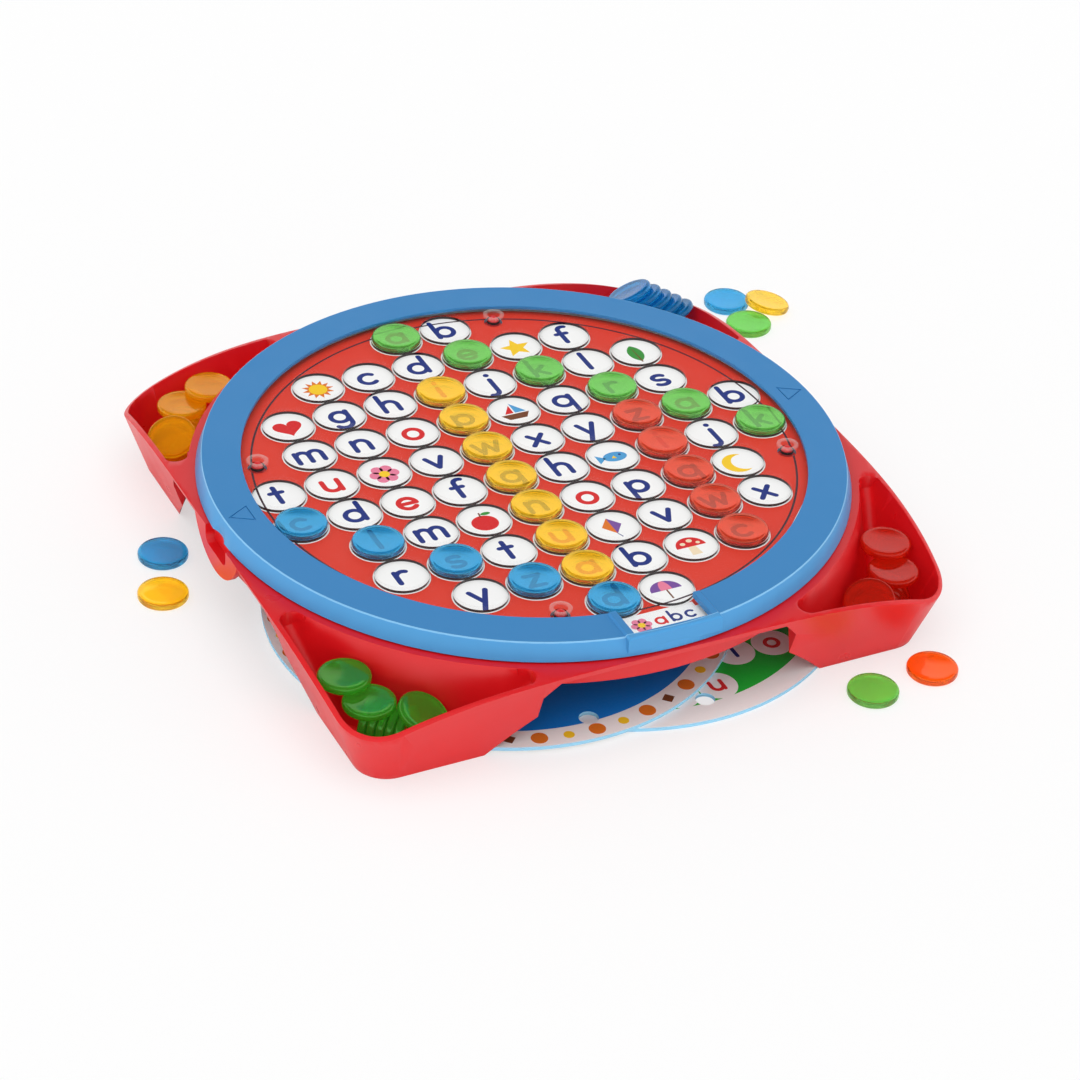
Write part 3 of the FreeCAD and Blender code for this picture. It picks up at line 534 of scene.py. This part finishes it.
def letter_shapes(letter, x, y, size):
    """The strokes of a letter as shapes: x and y are the middle of its width and of an x beside it."""
    shapes = []
    for level, stroke in enumerate(LETTER_SHARES[letter]):
        loops = placed(stroke_loops(stroke), x, y - size / 2, size)
        shapes.append((loops, level * STROKE_LEVEL_SHARE))
    return shapes


def letter_ink(letter):
    """The ink a letter is printed in."""
    return "red" if letter in VOWELS else "navy"


MIDDLE_CELL = (CELLS_ACROSS - 1) / 2
CELLS = [
    (row, column)
    for row in range(CELLS_ACROSS)
    for column in range(CELLS_ACROSS)
    if math.hypot(row - MIDDLE_CELL, column - MIDDLE_CELL) < FIELD_CELLS
]


def cell_place(row, column, pitch):
    """The middle of a letter's circle, from the middle of the disc."""
    return (column - MIDDLE_CELL) * pitch, (MIDDLE_CELL - row) * pitch


inks = {name: ink(f"{name}_ink", colour) for name, colour in INKS.items()}
puzzle_shapes = {name: [] for name in INKS}
for number, (row, column) in enumerate(cell for cell in CELLS if cell not in PICTURE_CELLS):
    letter = chr(ord("a") + number % len(LETTER_SHARES))
    x, y = cell_place(row, column, PITCH)
    puzzle_shapes[letter_ink(letter)] += letter_shapes(letter, x, y, X_HEIGHT)

# Pictures. Twelve of the circles hold a small picture in place of a letter, and four labels of a picture and
# three letters stand on the rim, one of them in the window of the ring. They are printed on the same card, in
# layers of one colour, and each label has a white ground.
PICTURE_HALF = 6.4 * MM
LABEL_HALF = 4.4 * MM
LABEL_X_HEIGHT = 4.3 * MM
LABEL_MIDDLE = -110.3 * MM
LABEL_PICTURE_X = -7.6 * MM
LABEL_LETTERS_X = [0.0, 6.1 * MM, 11.8 * MM]
GROUND_HALF = 15.5 * MM
GROUND_OUTER = -108.6 * MM
GROUND_INNER = -104.2 * MM
GROUND_LAYER = -1
LABEL_ANGLES = {"flower": 0, "sun": 45, "heart": -45, "fish": -90}
HEART_STEPS = 36
HEART_SPAN = 18


def star_outline(tips, outer, inner):
    """A star with its first tip up."""
    corners = []
    for number in range(2 * tips):
        angle = math.pi / 2 + math.pi * number / tips
        length = inner if number % 2 else outer
        corners.append(Vector((length * math.cos(angle), length * math.sin(angle))))
    return corners


def corner_outline(*corners):
    """A flat shape with straight sides."""
    return [Vector(corner) for corner in corners]


def round_outline(x, y, wide, high):
    """A full round or oval."""
    return arc_points(x, y, wide, high, 0, FULL_TURN)


def heart_outline():
    """A heart from the well known curve."""
    corners = []
    for step in range(HEART_STEPS):
        angle = math.pi / 2 + 2 * math.pi * step / HEART_STEPS
        x = 16 * math.sin(angle) ** 3
        upper = 13 * math.cos(angle) - 5 * math.cos(2 * angle)
        lower = 2 * math.cos(3 * angle) + math.cos(4 * angle)
        corners.append(Vector((-x, upper - lower)) / HEART_SPAN)
    return corners


def petals(count, reach, size):
    """Round petals about the middle."""
    angles = [2 * math.pi * number / count for number in range(count)]
    return [round_outline(reach * math.cos(angle), reach * math.sin(angle), size, size) for angle in angles]


# Each picture is a list of ink, layer and outline, in shares of half its width.
PICTURE_SHARES = {
    "sun": [("orange", 0, star_outline(12, 0.98, 0.6)), ("yellow", 1, round_outline(0, 0, 0.56, 0.56))],
    "star": [("yellow", 0, star_outline(5, 1.0, 0.45))],
    "heart": [("red", 0, heart_outline())],
    "leaf": [
        ("green", 0, arc_points(-0.62, 0, 1.1, 1.1, -53, 53) + arc_points(0.62, 0, 1.1, 1.1, 127, 233)),
        ("brown", 1, corner_outline((-0.05, -1.0), (0.05, -1.0), (0.02, 0.55), (-0.02, 0.55))),
    ],
    "boat": [
        ("brown", 0, corner_outline((-0.9, -0.2), (-0.55, -0.75), (0.55, -0.75), (0.9, -0.2))),
        ("sky", 0, corner_outline((0.05, -0.1), (0.75, -0.1), (0.05, 0.95))),
        ("red", 0, corner_outline((-0.6, -0.1), (-0.05, -0.1), (-0.05, 0.75))),
    ],
    "flower": [("pink", 0, outline) for outline in petals(6, 0.55, 0.36)]
    + [("yellow", 1, round_outline(0, 0, 0.32, 0.32))],
    "fish": [
        ("sky", 0, round_outline(0.15, 0, 0.75, 0.48)),
        ("sky", 0, corner_outline((-0.98, -0.45), (-0.45, 0), (-0.98, 0.45))),
        ("navy", 1, round_outline(0.5, 0.12, 0.09, 0.09)),
        ("yellow", 1, corner_outline((-0.1, -0.1), (0.2, -0.2), (0.1, 0.12))),
    ],
    "apple": [
        ("red", 0, round_outline(0, -0.15, 0.8, 0.74)),
        ("brown", 1, corner_outline((-0.05, 0.45), (0.05, 0.45), (0.1, 0.9), (0.0, 0.9))),
        ("green", 1, round_outline(0.4, 0.72, 0.3, 0.14)),
    ],
    "moon": [
        ("yellow", 0, arc_points(0, 0, 0.95, 0.95, 55, 305) + arc_points(0.42, 0, 0.78, 0.78, 276, 84)),
    ],
    "kite": [
        ("orange", 0, corner_outline((0, 0.98), (-0.62, 0.2), (0, -0.6))),
        ("purple", 0, corner_outline((0, 0.98), (0, -0.6), (0.62, 0.2))),
        ("navy", 0, corner_outline((-0.03, -0.6), (0.12, -1.0), (0.18, -0.97), (0.03, -0.6))),
    ],
    "mushroom": [
        ("cream", 0, corner_outline((-0.22, 0.1), (-0.32, -0.85), (0.32, -0.85), (0.22, 0.1))),
        ("red", 1, arc_points(0, -0.05, 0.92, 0.9, 0, 180)),
        ("cream", 2, round_outline(-0.4, 0.3, 0.16, 0.14)),
        ("cream", 2, round_outline(0.1, 0.5, 0.18, 0.16)),
        ("cream", 2, round_outline(0.52, 0.2, 0.13, 0.12)),
    ],
    "umbrella": [
        ("brown", 0, corner_outline((-0.05, -0.85), (0.05, -0.85), (0.05, 0.1), (-0.05, 0.1))),
        ("purple", 1, arc_points(0, 0, 0.95, 0.85, 0, 180)),
        ("pink", 2, arc_points(0, 0, 0.35, 0.85, 0, 180)),
    ],
}


def draw_picture(shapes, picture, x, y, half):
    """Adds a picture to the shapes of each ink."""
    for colour, layer, outline in PICTURE_SHARES[picture]:
        shapes[colour].append((placed([outline], x, y, half), layer))


def turned(shapes, angle):
    """Shapes turned about the middle of the disc."""
    turn = Matrix.Rotation(angle, 2)
    return [([[turn @ point for point in loop] for loop in loops], layer) for loops, layer in shapes]


for picture, cell in zip(PICTURE_SHARES, PICTURE_CELLS):
    draw_picture(puzzle_shapes, picture, *cell_place(*cell, PITCH), PICTURE_HALF)
label_ground = corner_outline(
    (-GROUND_HALF, GROUND_OUTER),
    (GROUND_HALF, GROUND_OUTER),
    (GROUND_HALF, GROUND_INNER),
    (-GROUND_HALF, GROUND_INNER),
)
for number, (picture, angle) in enumerate(LABEL_ANGLES.items()):
    label = {name: [] for name in INKS}
    label["white"].append(([label_ground], GROUND_LAYER))
    draw_picture(label, picture, LABEL_PICTURE_X, LABEL_MIDDLE, LABEL_HALF)
    for place, x in enumerate(LABEL_LETTERS_X, start=len(LABEL_LETTERS_X) * number):
        letter = chr(ord("a") + place)
        label[letter_ink(letter)] += letter_shapes(letter, x, LABEL_MIDDLE, LABEL_X_HEIGHT)
    for colour, shapes in label.items():
        puzzle_shapes[colour] += turned(shapes, math.radians(angle))
puzzle_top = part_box("puzzle_disc")[1][2]
for colour, shapes in puzzle_shapes.items():
    print_film(f"puzzle_{colour}_ink", shapes, puzzle_top, "puzzle", inks[colour])

# Spare discs' print. The blue one has a plain field and a row of coloured spots round its white rim, and the
# green one has letters in its circles. They are ink on the card, like the print of the puzzle disc.
SPARE_X_HEIGHT = X_HEIGHT * SPARE_PITCH / PITCH
RIM_SPOT_SHARE = 0.946
RIM_SPOTS = ["orange", "yellow", "orange", "brown", "orange", "yellow"]
RIM_SPOT_HALVES = {"orange": 3.1 * MM, "yellow": 2.0 * MM, "brown": 2.6 * MM}
RIM_SPOT_COUNT = 48
ROUND_SPOT_SHARES = round_outline(0, 0, 1, 1)
CORNERED_SPOT_SHARES = star_outline(4, 1.0, 0.72)
SPARE_FIRST_LETTER = 1
SPARE_LETTER_STEP = 3
spare_middle = centre_of("spare_disc_blue")
spot_reach = RIM_SPOT_SHARE * half_width("spare_disc_blue")
rim_shapes = {name: [] for name in RIM_SPOT_HALVES}
for number in range(RIM_SPOT_COUNT):
    colour = RIM_SPOTS[number % len(RIM_SPOTS)]
    angle = 2 * math.pi * number / RIM_SPOT_COUNT
    x = spare_middle.x + spot_reach * math.cos(angle)
    y = spare_middle.y + spot_reach * math.sin(angle)
    outline = CORNERED_SPOT_SHARES if colour == "brown" else ROUND_SPOT_SHARES
    rim_shapes[colour].append((placed([outline], x, y, RIM_SPOT_HALVES[colour]), 0))
spare_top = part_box("spare_disc_blue")[1][2]
for colour, shapes in rim_shapes.items():
    print_film(f"blue_spare_{colour}_ink", shapes, spare_top, "blue_spare", inks[colour])
spare_middle = centre_of("spare_disc_green")
green_shapes = {"navy": [], "red": []}
for number, (row, column) in enumerate(CELLS):
    place = SPARE_FIRST_LETTER + SPARE_LETTER_STEP * number
    letter = chr(ord("a") + place % len(LETTER_SHARES))
    x, y = cell_place(row, column, SPARE_PITCH)
    shapes = letter_shapes(letter, spare_middle.x + x, spare_middle.y + y, SPARE_X_HEIGHT)
    green_shapes[letter_ink(letter)] += shapes
spare_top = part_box("spare_disc_green")[1][2]
for colour, shapes in green_shapes.items():
    print_film(f"green_spare_{colour}_ink", shapes, spare_top, "green_spare", inks[colour])

# Letter grid. A clear moulded plate with a hole over each letter, held down by the ring and located by pegs.
# The feet of the walls of its holes are painted dark, as painted shade for the dark look clear plastic has
# where it meets the card, and its sockets are painted paler as a painted highlight.
CLEAR_VEIL = screen_colour(240, 236, 232)
EDGE_SHADE = screen_colour(24, 18, 22)
VEIL_SHARE = 0.012
WALL_SHARE = 0.03
EDGE_SHADE_SHARE = 0.97
SOCKET_HIGHLIGHT_SHARE = 0.18
SOCKET_RISE = 0.6 * MM
EDGE_HEIGHT = 1.1 * MM
CLEAR_ROUGHNESS = 0.05


def clear_plate(name):
    """Clear plastic with a faint veil, painted shade lines at the feet of its walls and a painted highlight
    on sockets.
    """
    material, tree, output = new_material(name)
    spot = add_node(tree, "ShaderNodeTexCoord")
    height = add_node(tree, "ShaderNodeSeparateXYZ", sockets={0: spot.outputs["Object"]})
    edge_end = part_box("letter_grid")[0][2] + EDGE_HEIGHT
    facing = add_node(tree, "ShaderNodeNewGeometry")
    heading = add_node(tree, "ShaderNodeSeparateXYZ", sockets={0: facing.outputs["True Normal"]})
    wall = sum_node(tree, "LESS_THAN", sum_node(tree, "ABSOLUTE", heading.outputs["Z"], 0), UPRIGHT_SHARE)
    # Painted shade: dark lines at the feet of the walls of the holes.
    edge = sum_node(tree, "MULTIPLY", wall, sum_node(tree, "LESS_THAN", height.outputs["Z"], edge_end))
    shade = mix_colours(tree, edge, CLEAR_VEIL, EDGE_SHADE)
    share = range_node(tree, wall, 0, 1, VEIL_SHARE, WALL_SHARE)
    share = sum_node(tree, "MAXIMUM", share, sum_node(tree, "MULTIPLY", edge, EDGE_SHADE_SHARE))
    plate_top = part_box("letter_grid")[1][2] - SOCKET_RISE
    # Painted highlight: a paler veil over the sockets.
    socket = sum_node(tree, "GREATER_THAN", height.outputs["Z"], plate_top + WELD_REACH)
    share = sum_node(tree, "MAXIMUM", share, sum_node(tree, "MULTIPLY", socket, SOCKET_HIGHLIGHT_SHARE))
    sockets = {"Base Color": shade, "Roughness": CLEAR_ROUGHNESS}
    veil = add_node(tree, "ShaderNodeBsdfPrincipled", sockets=sockets)
    through = add_node(tree, "ShaderNodeBsdfTransparent", sockets={"Color": WHITE})
    body = mix_shaders(tree, share, through, veil)
    tree.links.new(body.outputs[0], output.inputs["Surface"])
    return material


wear("letter_grid", clear_plate("clear_plastic"))

# Turning ring. One blue moulding, an angle in section, dropped over the deck so that it turns by hand.
# Its window frame, arrows and thumb scoops are moulded in. The skirt is painted a little lighter than the
# flat top as painted light, and a thin painted highlight runs along the crease between them.
RING_BLUE = screen_colour(54, 129, 188)
SKIRT_PAINTED_LIGHT_BLUE = screen_colour(74, 150, 206)
CREASE_HIGHLIGHT_BLUE = screen_colour(128, 186, 226)
RING_ROUGHNESS = 0.38
RING_GLOSS = 0.25
CREASE_REACH = 120.13 * MM
CREASE_HIGHLIGHT_HALF = 0.16 * MM
blue_plastic, tree, output = new_material("blue_plastic")
spot = add_node(tree, "ShaderNodeTexCoord")
flat = vector_node(tree, "MULTIPLY", spot.outputs["Object"], (1, 1, 0))
reach = vector_node(tree, "LENGTH", flat, (0, 0, 0))
# Painted light: the skirt is painted lighter than the top, and a painted highlight line runs along the
# crease.
past_crease = sum_node(tree, "SUBTRACT", reach, CREASE_REACH)
on_skirt = sum_node(tree, "GREATER_THAN", past_crease, 0)
on_crease_highlight = sum_node(tree, "LESS_THAN", sum_node(tree, "ABSOLUTE", past_crease, 0), CREASE_HIGHLIGHT_HALF)
colour = mix_colours(tree, on_crease_highlight, mix_colours(tree, on_skirt, RING_BLUE, SKIRT_PAINTED_LIGHT_BLUE), CREASE_HIGHLIGHT_BLUE)
plastic = moulded_plastic(tree, colour, RING_ROUGHNESS, RING_GLOSS)
tree.links.new(plastic.outputs[0], output.inputs["Surface"])
wear("turning_ring", blue_plastic)
break_edges("turning_ring", MOULDED_EDGE)

# Counters. Round pieces of clear tinted plastic with a shallow dish on each face, all loose. Those in the
# grid stand on the printed disc. The rest lie on the table and in the trays, where their tint is painted
# deeper as shade.
COUNTER_TINTS = {
    "blue": screen_colour(76, 188, 230),
    "green": screen_colour(142, 220, 114),
    "yellow": screen_colour(254, 218, 58),
    "red": screen_colour(240, 104, 72),
    "orange": screen_colour(252, 122, 28),
}
ORANGE_COUNTER = "loose_counter_front_red"
COUNTER_IOR = 1.4
COUNTER_ROUGHNESS = 0.06
COUNTER_MIRROR_SHARES = {"grid": 0.32, "loose": 0.12, "tray": 0.12}
COUNTER_CLEAR_SHARES = {"grid": 0.92, "loose": 0.92, "tray": 0.78}
# Painted shade: the counters in the trays get a deeper tint than the same plastic elsewhere.
COUNTER_SHADE_DEPTHS = {"grid": 1.0, "loose": 1.0, "tray": 1.7}


def tinted_plastic(name, tint, place):
    """Clear tinted plastic with a coloured sheen, which lets the lamp's light through to what is under it."""
    material, tree, output = new_material(name)
    clear = add_node(
        tree,
        "ShaderNodeBsdfPrincipled",
        sockets={
            "Base Color": [channel ** COUNTER_SHADE_DEPTHS[place] for channel in tint],
            "Roughness": COUNTER_ROUGHNESS,
            "IOR": COUNTER_IOR,
            "Metallic": COUNTER_MIRROR_SHARES[place],
            "Transmission Weight": COUNTER_CLEAR_SHARES[place],
        },
    )
    lamp_light = add_node(tree, "ShaderNodeBsdfTransparent", sockets={"Color": WHITE})
    ray = add_node(tree, "ShaderNodeLightPath")
    both = mix_shaders(tree, ray.outputs["Is Shadow Ray"], clear, lamp_light)
    tree.links.new(both.outputs[0], output.inputs["Surface"])
    return material


counter_plastics = {}
for node_name in nodes:
    if "counter" in node_name:
        place, *words = node_name.split("_")
        colour = next(word for word in words if word in COUNTER_TINTS)
        if node_name == ORANGE_COUNTER:
            colour = "orange"
        plastic_name = f"{place}_{colour}_plastic"
        if plastic_name not in counter_plastics:
            counter_plastics[plastic_name] = tinted_plastic(plastic_name, COUNTER_TINTS[colour], place)
        wear(node_name, counter_plastics[plastic_name])
